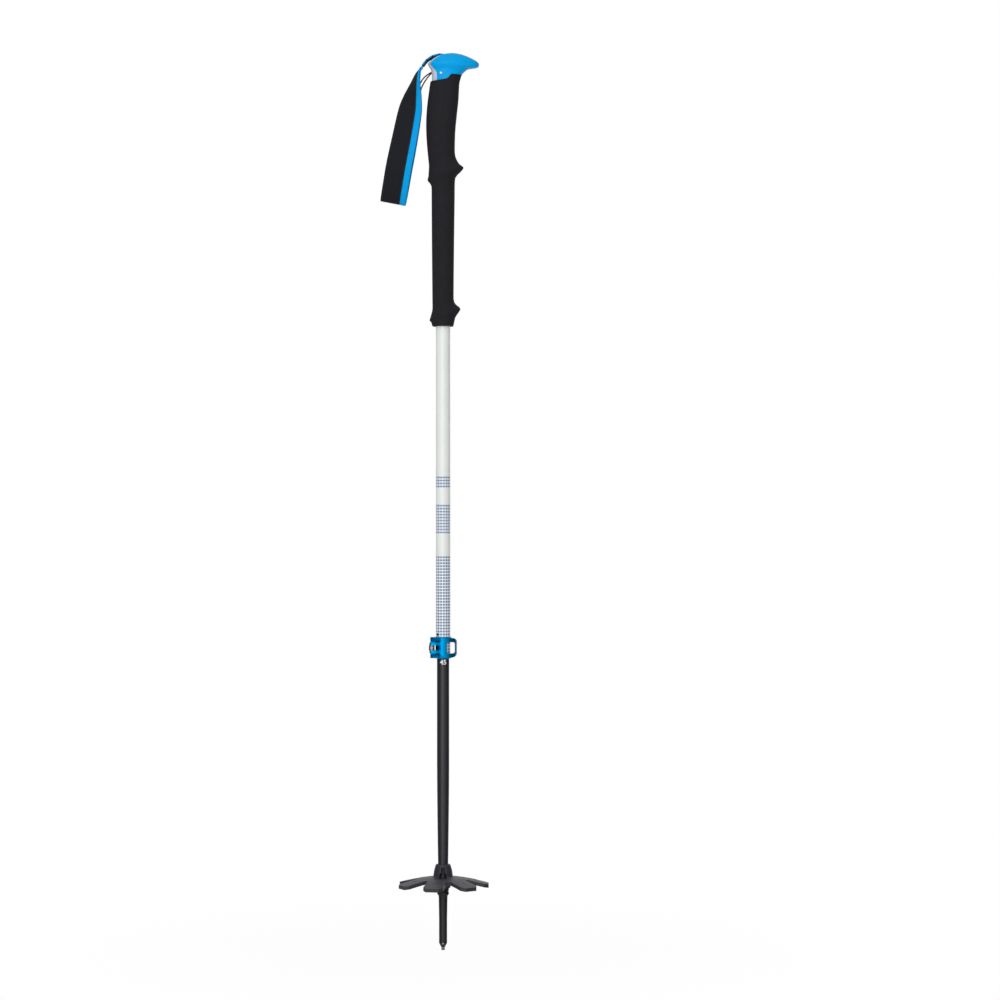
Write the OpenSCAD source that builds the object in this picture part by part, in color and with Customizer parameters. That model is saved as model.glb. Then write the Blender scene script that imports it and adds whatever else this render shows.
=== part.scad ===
// Adjustable ski pole: two telescoping tubes, a cam-lever clamp, a foam grip with
// a beaked head, a wrist strap and a seven-petal snow basket. Millimetres.
// Heights are counted up from the point of the tip, and those of the head and the strap
// from the top of the head. The whole pole is then dropped so that the origin sits in
// the hand, on the axis of the tubes.
// +Z runs up the pole, the beak of the head points along +X, the strap hangs at -X
// and the clamp lever faces -Y.

/* [Pole] */
// Length of the pole as it is set, tip to head
pole_len = 1150; // [1000:5:1300]
// Height of the hand on the grip, which is the origin
hand_h = 1060; // [1030:1:1090]

/* [Tubes] */
// Outer radius of the lower tube
lower_r = 7.85; // [7:0.05:8.5]
// Gap all round between the two tubes
slide_gap = 0.2; // [0.1:0.05:0.4]
// Wall of the upper tube
upper_wall = 1.2; // [0.8:0.1:1.5]
// Wall of the lower tube
lower_wall = 1; // [0.8:0.1:1.5]
// Outer radius of the lower tube where it meets the basket
lower_end_r = 6.45; // [5.5:0.05:7.5]
// Height of the top end of the lower tube
lower_top = 760; // [600:5:800]
// Height where the lower tube starts to taper
taper_h = 237; // [180:1:300]

/* [Clamp] */
// Height of the middle of the clamp
lock_h = 387.8; // [300:0.1:500]
// Height of the clamp body
lock_tall = 27.6; // [20:0.1:40]
// Wall of the clamp ring
ring_wall = 1.75; // [1.5:0.05:3]
// Thickness of the lever
lever_t = 2.4; // [1.6:0.1:4]
// Height of the finger loop
loop_tall = 24.8; // [18:0.1:30]
// Distance of the tension screw from the pole axis
screw_x = 14.4; // [13:0.1:18]

/* [Grip] */
// Height of the bottom end of the foam
foam_h = 799.5; // [700:0.5:900]

/* [Strap] */
// Width of the wrist band
band_w = 33; // [20:0.5:40]
// Width of its coloured edge
edge_w = 9.2; // [4:0.1:14]
// Thickness of the band
band_t = 1.6; // [1:0.1:3]
// Diameter of the thin cord
cord_d = 1.7; // [1:0.1:3]

/* [Basket] */
// Number of petals
petals = 7; // [5:1:9]
// Radius of the basket
basket_r = 58.5; // [40:0.5:70]
// Radius of its round plate, where the gaps between the petals end
plate_r = 33; // [25:0.5:40]
// Width of a petal
petal_w = 25.6; // [18:0.2:30]
// Height of the shoulder of the ferrule that the basket stands on
hub_h = 79.5; // [60:0.5:120]
// Radius of the ferrule inside the basket
hub_r = 7; // [6.8:0.1:8]

/* [Hidden] */
$fn = 64;
upper_bore = lower_r + slide_gap;
upper_r = upper_bore + upper_wall;
ring_r = upper_r + ring_wall;
half = lock_tall / 2;

// Hand part of the grip, in heights from the top of the head: height on the axis, slope,
// back, front, half width.
HAND = [
    [-18, 0.1, 15.6, 26, 14.6], [-33, 0.2, 16.3, 23.8, 14.8], [-43, 0.2, 17.8, 21, 15.4],
    [-64.5, 0.25, 20.7, 19.8, 16.2], [-85, 0.26, 21.8, 17.6, 16.4], [-105.5, 0.31, 21.1, 15.7, 16],
    [-127, 0.36, 19.2, 15.1, 15.3], [-136.5, 0.4, 18.2, 15.5, 15.3], [-144, 0.41, 18.5, 17.6, 15.8],
    [-150.6, 0.38, 18.9, 21.4, 16.7], [-154.6, 0.35, 19.8, 25.5, 17.6], [-157, 0.35, 19.6, 25.9, 17.4],
    [-160.4, 0.36, 17.3, 22.6, 16.2], [-164, 0.38, 15.4, 17.6, 15.1], [-169.5, 0.38, 14.8, 15.3, 14.6],
    [-192, 0.26, 14.7, 14.9, 14.5]];

// Lower end of the grip, in heights from the bottom of the foam.
FLARE = [
    [43.5, 0.28, 13.8, 13.6, 13.7], [28.5, 0.4, 13.7, 13.9, 13.8], [22.5, 0.39, 14.9, 16.1, 14.5],
    [18, 0.36, 16.2, 20.3, 15.8], [15.1, 0.36, 17.2, 22, 16.6], [13.4, 0.36, 17.2, 22, 16.5],
    [10.5, 0.33, 15.4, 19.2, 15.3], [7.5, 0.28, 14.6, 16, 14.5], [4.1, 0.18, 14.3, 14.6, 14],
    [0, 0, 13.1, 13.1, 13.1]];

// Long plain stretch between them.
hand_end = pole_len + HAND[len(HAND) - 1][0];
flare_h = foam_h + FLARE[0][0];
PLAIN = [[flare_h + (hand_end - flare_h) * 0.565, 0.18, 14.4, 14.2, 14.2]];
function lifted(list, h) = [for (s = list) [s[0] + h, s[1], s[2], s[3], s[4]]];
GRIP = concat(lifted(HAND, pole_len), PLAIN, lifted(FLARE, foam_h));

// Head sections from the neck up, in heights from its top: height, back, front, half width.
HEAD = [
    [-42, -14.4, 22.4, 13.9], [-32, -14.4, 23.6, 14.1], [-27.5, -14.6, 24.5, 14.1],
    [-24.5, -14.9, 26.8, 13.9], [-21.4, -15.7, 30.5, 14.1], [-19.8, -16.7, 34.5, 14.7],
    [-18.8, -17.4, 43, 15.2], [-18.3, -17.7, 44.6, 15.4], [-17.4, -18.2, 45.6, 15.8],
    [-15.6, -19, 46.2, 16.3], [-13.9, -19.5, 46, 16.6], [-11.8, -17.9, 44.9, 16.6],
    [-9.6, -15.8, 41.6, 16.2], [-7.7, -13.7, 38.2, 15.4], [-5.7, -10.9, 34.1, 14],
    [-3.8, -7.5, 29.8, 12.1], [-2, -2.6, 24.6, 9.2], [-0.8, 3, 19.6, 6],
    [0, 8, 15, 2.6]];

// Line between the head and the foam, from the front to the back, in side view.
SEAT = [
    [40, -28.1], [10.8, -28.1], [8.9, -30.1], [6.4, -33.1], [3.9, -34.2], [-7.6, -35.9],
    [-40, -38.6]];

// Line between the blue cap and the grey core, from the neck to the strap slot.
SPLIT = [
    [-7.6, -35.9], [-7.5, -31], [-7.9, -26.3], [-9.6, -22.9], [-12.8, -19.3], [-15.6, -16.1],
    [-16.2, -14.3], [-13, -10.6], [-8.4, -7.1], [-3.2, -4.2], [-2, 6], [-40, 6],
    [-40, -38.6]];

// Strap loop from its top fold to its bottom fold: height, middle, width, twist, and half of
// the gap between its two runs, along X and along Y.
LOOP = [
    [-17.7, -26.6, 15, 90, 0, 0], [-19.8, -28.6, 16.5, 87, 1, 0.1],
    [-25.4, -32, 21, 76, 0.85, 0.5], [-40.5, -36.3, 31.5, 64, 0.5, 1.5],
    [-59.3, -39.9, band_w, 41, 0.4, 3.4], [-77, -42.8, band_w, 23, 0.25, 7],
    [-109.3, -48.8, band_w, 12, 0.1, 13], [-146, -56.1, band_w, 0, 0, 17],
    [-165, -59.4, band_w, 0, 0, 15.6], [-181, -62.2, band_w, 0, 0, 11.4],
    [-189.5, -63.7, band_w, 0, 0, 6], [-192.2, -64.2, band_w, 0, 0, 0]];

// Route of the thin cord: out of the head, round behind the strap and back.
CORD = [
    [-12.4, 0.9, -23.9], [-15.4, 1.1, -24.6], [-18.6, 1.5, -26.5], [-21.6, 1.8, -28.5],
    [-24.3, 2.2, -30.9], [-26.9, 2.6, -34], [-29.2, 3.1, -38], [-31, 3.6, -42],
    [-32.2, 3.8, -46], [-32.3, 3.3, -49.6], [-31.2, 1.8, -52], [-29.8, -0.2, -52.4],
    [-28.9, -1.9, -50.2], [-28.3, -2.6, -46.6], [-26.9, -2.6, -43], [-25.2, -2.5, -39.7],
    [-23.4, -2.3, -36.6], [-21.4, -2, -33.6], [-19, -1.7, -30.4], [-16.8, -1.3, -27.7],
    [-14.8, -1, -25.9], [-12.4, -0.9, -25.2]];

// Strap anchor inside the head: middle of the outer arc, and of the inner one.
lead_c = [-2.6, -28.9];
lead_r = 26.3;
tail_c = [-2.6, -12.6];
tail_r = 10;
lead_w = 15;
lead_t = 2 * band_t;
tail_end = -22;

// Plug in the top of the tube: its block under the cap, its foot in the tube, and the cross pin.
block_h = -23.6;
block_tall = 12.4;
foot_h = -68;
pin_at = [-2.5, -26.7];
pin_r = 1.25;
wedge_t = 3.9;
wedge_w = 7.6;
wedge_tall = 7;
wedge_at = [tail_c[0] + tail_r + lead_t / 2 + 0.4, tail_end];
seat_gap = 1;
tube_top = pole_len + SEAT[5][1] - seat_gap;

BLUE = [0.0, 0.6, 0.86];
BLACK = [0.16, 0.155, 0.175];
GREY = [0.68, 0.73, 0.76];
STEEL = [0.72, 0.72, 0.74];

// Smooth curve through four neighbours.
function blend(a, b, c, d, t) = b + 0.5 * t * (c - a + t * (2 * a - 5 * b + 4 * c - d
    + t * (3 * (b - c) + d - a)));
function at(list, i) = list[max(0, min(len(list) - 1, i))];
function smooth(list, n) = [for (i = [0:len(list) - 2]) for (k = [0:n - 1])
    blend(at(list, i - 1), at(list, i), at(list, i + 1), at(list, i + 2), k / n),
    list[len(list) - 1]];

// Closed skin over rings of equal count, with flat ends unless it runs round.
module skin(rings, round_trip = false) {
    m = len(rings);
    n = len(rings[0]);
    points = [for (r = rings) each r];
    last = round_trip ? m - 1 : m - 2;
    sides = [for (i = [0:last]) for (j = [0:n - 1]) let (
        a = i * n, b = ((i + 1) % m) * n, k = (j + 1) % n)
        each [[a + j, a + k, b + k], [a + j, b + k, b + j]]];
    ends = round_trip ? [] : [[for (j = [n - 1:-1:0]) j],
        [for (j = [0:n - 1]) (m - 1) * n + j]];
    polyhedron(points = points, faces = concat(sides, ends));
}

// Side-view outline pushed through the width of the pole.
module side(width) {
    rotate([90, 0, 0]) linear_extrude(height = width, center = true) children();
}

// Egg-shaped ring of the grip, tipped so that its front is higher.
function grip_ring(s, n) = [for (j = [0:n - 1]) let (
    t = 360 * j / n,
    x = cos(t) * (cos(t) > 0 ? s[3] : s[2]))
    [x, s[4] * sin(t), s[0] + s[1] * x]];

// Ring of the head: fuller than an ellipse, widest just ahead of the axis.
function fuller(v) = sign(v) * pow(abs(v), 0.84);
function head_ring(s, wide, n) = let (mid = s[1] > 0 ? (s[1] + s[2]) / 2 : 6)
    [for (j = [0:n - 1]) let (t = 360 * j / n, c = fuller(cos(t)))
    [mid + c * (c > 0 ? s[2] - mid : mid - s[1]), wide * s[3] * fuller(sin(t)), s[0]]];

module head_form(wide) {
    skin([for (s = HEAD) head_ring(s, wide, 40)]);
}

// Everything above the line where the head sits on the foam.
module above_seat() {
    side(80) polygon(concat(SEAT, [[-40, 20], [60, 20], [60, SEAT[0][1]]]));
}

// Strap lead in side view, wider by grow for its channel in the head.
module lead_outline(grow) {
    t = lead_t / 2 + grow;
    translate(lead_c) intersection() {
        difference() {
            circle(r = lead_r + t);
            circle(r = lead_r - t);
        }
        polygon([[0, 0], [0, 40], [-40, 40], [-40, 40 * tan(28.1)]]);
    }
    translate(tail_c) intersection() {
        difference() {
            circle(r = tail_r + t);
            circle(r = tail_r - t);
        }
        square(20);
    }
    translate([tail_c[0] + tail_r - t, tail_end - grow])
        square([2 * t, tail_c[1] - tail_end + 0.1 + grow]);
}

// Channel in the head for the lead.
module strap_channel() {
    side(lead_w + 0.6) lead_outline(0.25);
}

// Block inside the cap, standing on the plug that fills the top of the tube.
module plug_form() {
    translate([-6.6, -9.5, block_h]) cube([22, 19, block_tall]);
    translate([0, 0, foot_h]) cylinder(r = upper_bore - 0.02, h = tube_top - pole_len - foot_h);
    translate([0, 0, foot_h]) cylinder(r = upper_bore - 1.05, h = block_h - foot_h + 1.6);
}

module pin_hole() {
    translate([pin_at[0], 0, pin_at[1]]) rotate([90, 0, 0]) cylinder(r = pin_r, h = 40, center = true);
}

module head_cap() color(BLUE) difference() {
    head_form(1);
    side(80) polygon(concat([for (i = [0:5]) SEAT[i]], [for (i = [1:11]) SPLIT[i]],
        [[-40, -60], [40, -60]]));
    plug_form();
    strap_channel();
    pin_hole();
}

// Grey back of the head, with the port of the thin cord.
head_seam = 0.15;
module head_core() color(GREY) difference() {
    head_form(0.96);
    side(80) translate([-head_seam, 0]) polygon(concat([for (i = [0:10]) SPLIT[i]],
        [[60, 6], [60, -60], [-40, -60], SEAT[6]]));
    strap_channel();
    translate([-5, 0, -24.6]) rotate([0, -90, 0]) cylinder(r = 2.6, h = 20);
}

module head_plug() color(BLACK) difference() {
    plug_form();
    strap_channel();
    translate([wedge_at[0] - 0.8, -wedge_w / 2 - 0.3, tail_end - 0.5])
        cube([wedge_t + 1.05, wedge_w + 0.6, 20]);
    pin_hole();
}

module head_pin() color([0.93, 0.94, 0.94])
    translate([pin_at[0], 0, pin_at[1]]) rotate([90, 0, 0]) cylinder(r = pin_r, h = 27.6, center = true);

// Clamps the tail of the lead; it lifts to let the strap run.
module strap_wedge() color(BLACK)
    translate([wedge_at[0], -wedge_w / 2, wedge_at[1]]) cube([wedge_t, wedge_w, wedge_tall]);

module strap_lead() color(BLUE) side(lead_w) lead_outline(0);

// Strap loop, with the seam between its two webbings.
seam_gap = 0.2;
STEPS = smooth(LOOP, 5);
DOWN = [for (s = STEPS) [s[0], s[1], s[2], s[3], -s[4], -s[5]]];
UP = [for (i = [len(STEPS) - 2:-1:1]) STEPS[i]];
ROUND = concat(DOWN, UP);
function across(s) = let (lean = 10.8 * (1 - s[3] / 90))
    [-cos(s[3]) * cos(lean), sin(s[3]), cos(s[3]) * sin(lean)];
function spine(s) = [s[1] + s[4], s[5], s[0]];
function unit(v) = v / norm(v);
function band_ring(i, from, to) = let (
    n = len(ROUND), s = ROUND[i], w = across(s), p = spine(s),
    run = spine(ROUND[(i + 1) % n]) - spine(ROUND[(i + n - 1) % n]),
    up = unit(cross(run, w)) * band_t / 2,
    k = s[2] / band_w,
    a = p + w * (from - band_w / 2) * k, b = p + w * (to - band_w / 2) * k)
    [a - up, b - up, b + up, a + up];
module band(from, to) {
    skin([for (i = [0:len(ROUND) - 1]) band_ring(i, from, to)], true);
}
module strap_band() color(BLACK) band(edge_w, band_w);
module strap_edge() color(BLUE) band(0, edge_w - seam_gap);

// Thin cord.
ROUTE = smooth(CORD, 2);
function cord_ring(i) = let (
    n = len(ROUTE), a = ROUTE[max(0, i - 1)], b = ROUTE[min(n - 1, i + 1)],
    d = unit(b - a), u = unit(cross(d, [0, 1, 0.02])), v = cross(d, u))
    [for (j = [0:7]) ROUTE[i] + cord_d / 2 * (cos(45 * j) * u + sin(45 * j) * v)];
module strap_cord() color(BLACK) skin([for (i = [0:len(ROUTE) - 1]) cord_ring(i)]);

module grip_foam() color(BLACK) difference() {
    skin([for (s = smooth(GRIP, 2)) grip_ring(s, 36)]);
    translate([0, 0, pole_len]) above_seat();
    translate([0, 0, foam_h - 1]) cylinder(r = upper_r, h = pole_len - foam_h);
}

// The tube ends just inside the clamp, and its slit runs out above it.
tube_end = lock_h - half + 1.2;
slit_top = lock_h + half + 2.8;

// Upper tube, slit and drilled at the bottom so that the clamp can close it.
module upper_shaft() color([0.88, 0.9, 0.89]) difference() {
    translate([0, 0, tube_end]) cylinder(r = upper_r, h = tube_top - tube_end);
    translate([0, 0, tube_end - 10]) cylinder(r = upper_bore, h = tube_top - tube_end + 20);
    rotate([0, 0, 223]) {
        translate([0, -0.6, tube_end - 1]) cube([upper_r + 3, 1.2, slit_top - tube_end + 1]);
        translate([0, 0, slit_top + 0.3]) rotate([0, 90, 0]) cylinder(r = 1.9, h = upper_r + 5);
    }
}

// Places of the two barrels along the screw.
barrel_y = 0.4 - ring_r;
saddle_y = 4.4;

// Clamp ring with two ears, split between them.
pocket_r = upper_r + 0.55;
module lock_collar() color(BLUE) translate([0, 0, lock_h]) difference() {
    union() {
        rotate_extrude() polygon([[upper_r + 0.02, -half], [ring_r - 0.9, -half],
            [ring_r, -half + 0.9], [ring_r, half - 0.9], [ring_r - 0.9, half],
            [upper_r + 0.02, half]]);
        difference() {
            translate([0, 0, -half + 0.5]) linear_extrude(height = lock_tall - 1)
                polygon([[-6, 1.8 - ring_r], [-screw_x - 1.2, -7], [-screw_x - 1.9, -6.2],
                    [-screw_x - 1.9, 6.2], [-screw_x - 1.2, 7], [-6, ring_r - 1.8]]);
            cylinder(r = upper_r + 0.02, h = 60, center = true);
        }
    }
    // Split between the ears, through the ring.
    translate([-20, -1.6, -30]) cube([14, 3.2, 60]);
    // Slot between the ears that the screw and its barrels lie in, and a pocket behind the fork.
    translate([-20, 0, -3.7]) cube([13.2, 20, 7.4]);
    translate([-6.8, 20, 0]) rotate([90, 0, 0]) cylinder(r = 3.7, h = 20);
    difference() {
        translate([-20, -20, -3.7]) cube([16.6, 20, 7.4]);
        cylinder(r = pocket_r, h = 20, center = true);
    }
    // Grooves beside the fork.
    for (z = [-7.7, 7.7]) translate([0, 0, z]) difference() {
        translate([-20, -20, -0.85]) cube([17.6, 20, 1.7]);
        cylinder(r = pocket_r, h = 20, center = true);
        translate([-20, -5.4, -5]) cube([11, 20, 10]);
    }
    // Window behind the finger loop.
    translate([4.2, -20, -7.7]) cube([20, 40, 15.4]);
    // Seats of the rear barrel.
    translate([-screw_x, saddle_y, 0]) cylinder(r = 1.52, h = 12.4, center = true);
}

// Lever seen from above: fork end, front arc and a wider arc out to the finger loop.
loop_r = 17.4;
front_r = ring_r + 0.5 + lever_t / 2;
loop_c = [-(loop_r - front_r) * cos(280), -(loop_r - front_r) * sin(280)];
module arc(r, from, to) {
    rotate([0, 0, from]) rotate_extrude(angle = to - from)
        translate([r - lever_t / 2, -half]) square([lever_t, lock_tall]);
}
module lever_plan() {
    arc(front_r, 240, 281);
    translate(loop_c) arc(loop_r, 279.9, 356);
    translate([0, 0, -half]) linear_extrude(height = lock_tall) {
        polygon([[-5.4, 0.8 - ring_r], [0.6 - screw_x, barrel_y + 2.7], [-screw_x, barrel_y - 2.9],
            [-9, barrel_y - 3.3], [-5.6, barrel_y - 2.3]]);
        translate([-screw_x, barrel_y]) circle(r = 2.9);
    }
}

// Lever seen from the front: narrow fork end that opens out into the finger loop.
module lever_face() {
    e = loop_tall / 2;
    difference() {
        union() {
            polygon([[-24, -6.8], [-4.2, -6.8], [2.4, -e], [13, -e], [13, e], [2.4, e],
                [-4.2, 6.8], [-24, 6.8]]);
            translate([12, -e + 6]) circle(r = 6);
            translate([12, e - 6]) circle(r = 6);
            translate([12, -e + 6]) square([8, loop_tall - 12]);
        }
        // Finger window.
        translate([7.4, -4.7]) circle(r = 2.5);
        translate([7.4, 4.7]) circle(r = 2.5);
        translate([4.9, -4.7]) square([10.1, 9.4]);
        translate([7.4, -7.2]) square([5, 14.4]);
        translate([12.5, -4.7]) circle(r = 2.5);
        translate([12.5, 4.7]) circle(r = 2.5);
        // Slot of the fork.
        translate([-24, -3.3]) square([17.5, 6.6]);
        translate([-6.5, 0]) circle(r = 3.3);
    }
}

module lock_lever() color(BLUE) translate([0, 0, lock_h]) difference() {
    intersection() {
        lever_plan();
        side(60) lever_face();
    }
    translate([-screw_x, barrel_y, 0]) cylinder(r = 1.56, h = 12.6, center = true);
}

// Front barrel that the lever turns on, tapped for the screw.
module lever_barrel() color(STEEL) translate([-screw_x, barrel_y, lock_h]) difference() {
    union() {
        cylinder(r = 3.6, h = 6.1, center = true);
        cylinder(r = 1.5, h = 12.2, center = true);
    }
    rotate([90, 0, 0]) cylinder(r = 1.8, h = 20, center = true);
}

// Rear barrel in the back ear, which the head of the screw pulls on.
module saddle_barrel() color(STEEL) translate([-screw_x, saddle_y, lock_h]) difference() {
    union() {
        cylinder(r = 3.5, h = 7, center = true);
        cylinder(r = 1.5, h = 12, center = true);
    }
    translate([-5, 2.7, -5]) cube(10);
    rotate([90, 0, 0]) cylinder(r = 1.8, h = 20, center = true);
}

module tension_screw() color(STEEL) translate([-screw_x, 0, lock_h]) rotate([-90, 0, 0]) difference() {
    union() {
        translate([0, 0, barrel_y - 3]) cylinder(r = 1.75, h = 11.4 - barrel_y);
        translate([0, 0, saddle_y + 2.9]) cylinder(r = 3.4, h = 3.2);
        translate([0, 0, saddle_y + 6.1]) cylinder(r1 = 3.4, r2 = 2.9, h = 0.5);
    }
    translate([0, 0, saddle_y + 4.2]) cylinder(r = 1.75, h = 4, $fn = 6);
}

// Guide at the top of the lower tube, running in the upper one.
module guide_bush() color(BLACK) difference() {
    union() {
        translate([0, 0, lower_top + 0.4]) cylinder(r = upper_bore - 0.04, h = 14);
        translate([0, 0, lower_top - 22]) cylinder(r = lower_r - lower_wall - 0.06, h = 24);
    }
    translate([0, 0, lower_top - 30]) cylinder(r = 4.5, h = 60);
}

// Lower tube: straight, then drawn down to the tip.
shaft_end = hub_h + 28;
TAPER = [for (i = [0:8]) let (t = i / 8)
    [lower_r - (lower_r - lower_end_r) * pow(t, 1.5), taper_h - (taper_h - shaft_end) * t]];
module lower_shaft() color(BLACK) rotate_extrude() polygon(concat(
    [[lower_r - lower_wall, lower_top], [lower_r, lower_top]], TAPER,
    [for (i = [8:-1:0]) [TAPER[i][0] - lower_wall, TAPER[i][1]]]));

// Ferrule on the end of the lower tube, which its spigot fills.
spigot_r = lower_end_r - lower_wall - 0.05;
flange_r = hub_r + 0.5;
cross_h = 8.6;
module tip_ferrule() color(BLACK) difference() {
    rotate_extrude() polygon([[0, 3.9], [2.5, 3.9], [4.6, 8], [5.15, 9], [5.15, 39],
        [5.3, 48], [5.45, 58], [5.65, hub_h - 11.5], [6.2, hub_h - 9.1], [flange_r, hub_h - 8.1],
        [flange_r, hub_h - 5.1], [flange_r - 1, hub_h - 4.6], [flange_r - 1, hub_h - 3.8],
        [flange_r, hub_h - 3.3], [flange_r, hub_h], [hub_r, hub_h],
        for (z = [17.4, 21.6, 24]) each [[hub_r, hub_h + z], [hub_r - 0.6, hub_h + z + 0.3],
            [hub_r - 0.6, hub_h + z + 1.1], [hub_r, hub_h + z + 1.4]],
        [hub_r, shaft_end], [spigot_r, shaft_end],
        [spigot_r, shaft_end + 18.5], [spigot_r - 0.6, shaft_end + 19.5], [0, shaft_end + 19.5]]);
    translate([0, 0, 1]) cylinder(r = 1.5, h = 21);
    translate([0, 0, cross_h]) rotate([90, 0, 0]) cylinder(r = 0.95, h = 20, center = true);
}

// Basket seen from above: a round plate with blocky petals, drawn smaller by inset.
module basket_plan(inset) {
    wide = petal_w / 2;
    circle(r = plate_r - inset);
    for (k = [0:petals - 1]) rotate([0, 0, 360 / petals * k]) polygon([
        [10, -9 + inset], [plate_r - 2, 0.4 - wide + inset], [basket_r - 5.5, -wide + inset],
        [basket_r - inset, 4.4 - wide + inset * 0.6], [basket_r - inset, wide - 4.4 - inset * 0.6],
        [basket_r - 5.5, wide - inset], [plate_r - 2, wide - 0.4 - inset], [10, 9 - inset]]);
}

// Drooping skirt between two heights under its top face.
skirt_t = 4.8;
module skirt(from, to) {
    droop = [[hub_r + 0.2, 14.9], [14, 14.4], [24, 13.3], [34, 11.6], [44, 9.4],
        [basket_r - 4.5, 7], [basket_r + 2.5, 5.4]];
    rotate_extrude() polygon(concat([for (p = droop) [p[0], hub_h + p[1] - from]],
        [for (i = [6:-1:0]) [droop[i][0], hub_h + droop[i][1] - to]]));
}

module basket() color([0.3, 0.295, 0.33]) difference() {
    union() {
        difference() {
            intersection() {
                skirt(0, skirt_t);
                linear_extrude(height = hub_h + 60) basket_plan(0);
            }
            intersection() {
                skirt(1.8, skirt_t + 1.6);
                linear_extrude(height = hub_h + 60) difference() {
                    basket_plan(1.9);
                    circle(r = 15);
                }
            }
        }
        // Hub.
        translate([0, 0, hub_h]) rotate_extrude() polygon([[hub_r + 0.05, 0.2], [9, 0.2], [9.6, 1.5],
            [10.4, 8.5], [12.6, 12.7], [12.4, 16.5], [11.9, 20.2], [11.5, 22.8], [10.7, 25.5],
            [9.75, 29.2], [8.9, 30.5], [lower_end_r + 0.15, 30.5], [lower_end_r + 0.15, 28.7],
            [hub_r + 0.05, 28.3]]);
    }
    // Hub windows.
    for (a = [0, 180]) rotate([0, 0, a]) {
        translate([0, 0, hub_h]) rotate([90, 0, 0]) linear_extrude(height = 20)
            polygon([[-4.6, 12.6], [4.6, 12.6], [4.6, 18.4], [2.4, 20.6], [2.2, 27.4], [-2.2, 27.4],
                [-2.4, 20.6], [-4.6, 18.4]]);
    }
    // Shallow marks on the petals.
    intersection() {
        skirt(-1, 0.5);
        for (k = [0:petals - 1]) rotate([0, 0, 360 / petals * k])
            translate([basket_r - 16.5, -3, hub_h]) rotate([0, 0, 35]) cube([1.2, 6, 20]);
    }
}

// Cross pin that holds the tip in the ferrule.
module tip_pin() color([0.72, 0.66, 0.45])
    translate([0, 0, cross_h]) rotate([90, 0, 0]) cylinder(r = 0.95, h = 9.4, center = true);

// Carbide tip with a fluted crown.
module carbide_tip() color([0.6, 0.57, 0.48]) difference() {
    union() {
        cylinder(r1 = 2.1, r2 = 2.35, h = 1.2);
        translate([0, 0, 1.2]) cylinder(r1 = 2.35, r2 = 1.9, h = 2.6);
        translate([0, 0, 3]) cylinder(r = 1.5, h = 18);
    }
    translate([0, 0, -1]) cylinder(r1 = 1.9, r2 = 0.7, h = 2.2);
    for (k = [0:7]) rotate([0, 0, 45 * k]) translate([2.55, 0, -0.5]) cylinder(r = 0.45, h = 4, $fn = 24);
    translate([0, 0, cross_h]) rotate([90, 0, 0]) cylinder(r = 0.95, h = 20, center = true);
}

module place() translate([0, 0, -hand_h]) children();
module place_head() translate([0, 0, pole_len - hand_h]) children();

place_head() head_cap();
place_head() head_core();
place_head() head_plug();
place_head() head_pin();
place_head() strap_wedge();
place_head() strap_lead();
place_head() strap_band();
place_head() strap_edge();
place_head() strap_cord();
place() grip_foam();
place() upper_shaft();
place() lock_collar();
place() lock_lever();
place() lever_barrel();
place() saddle_barrel();
place() tension_screw();
place() guide_bush();
place() lower_shaft();
place() tip_ferrule();
place() basket();
place() tip_pin();
place() carbide_tip();
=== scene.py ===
# %% [markdown]
# # A telescoping ski pole
# The solid model arrives as a frame: tubes, clamp, basket, and the room that each soft piece takes.
# What is left is what the eye reads first: the pressed foam, the webbing, the printed dots, the
# anodised clamp and the moulded head. This lesson dresses the frame from the soft pieces down to
# the tip, then lights it as a catalogue picture.

import math

import bmesh
import bpy
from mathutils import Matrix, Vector


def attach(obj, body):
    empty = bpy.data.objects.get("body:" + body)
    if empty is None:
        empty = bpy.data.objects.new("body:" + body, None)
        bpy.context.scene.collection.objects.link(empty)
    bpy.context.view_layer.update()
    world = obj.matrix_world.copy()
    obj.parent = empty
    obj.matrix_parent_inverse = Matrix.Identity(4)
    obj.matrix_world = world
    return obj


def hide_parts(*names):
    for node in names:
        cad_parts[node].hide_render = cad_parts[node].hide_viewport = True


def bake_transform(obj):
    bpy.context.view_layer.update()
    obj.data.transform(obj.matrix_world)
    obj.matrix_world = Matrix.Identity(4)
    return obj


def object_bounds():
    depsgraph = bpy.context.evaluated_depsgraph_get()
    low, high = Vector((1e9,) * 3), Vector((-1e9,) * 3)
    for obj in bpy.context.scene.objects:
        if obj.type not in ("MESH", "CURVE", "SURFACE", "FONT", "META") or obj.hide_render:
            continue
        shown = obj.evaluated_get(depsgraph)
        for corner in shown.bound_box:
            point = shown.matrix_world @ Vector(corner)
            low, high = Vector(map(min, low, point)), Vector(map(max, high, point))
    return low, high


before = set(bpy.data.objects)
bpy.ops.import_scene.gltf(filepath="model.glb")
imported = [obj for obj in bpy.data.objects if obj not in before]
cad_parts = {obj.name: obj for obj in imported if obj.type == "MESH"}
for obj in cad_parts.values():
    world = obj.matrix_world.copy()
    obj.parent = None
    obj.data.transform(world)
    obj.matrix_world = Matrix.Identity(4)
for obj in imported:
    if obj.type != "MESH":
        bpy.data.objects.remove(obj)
cad_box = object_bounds()

# %% [markdown]
# The picture was taken square to the pole, from about four metres, at the height of its middle.
# A camera could be matched by eye, but a known distance and a known scale give the lens directly:
# the frame is 1.283 m wide at the pole, so a 36 mm sensor needs a lens of about 112 mm.

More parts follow.
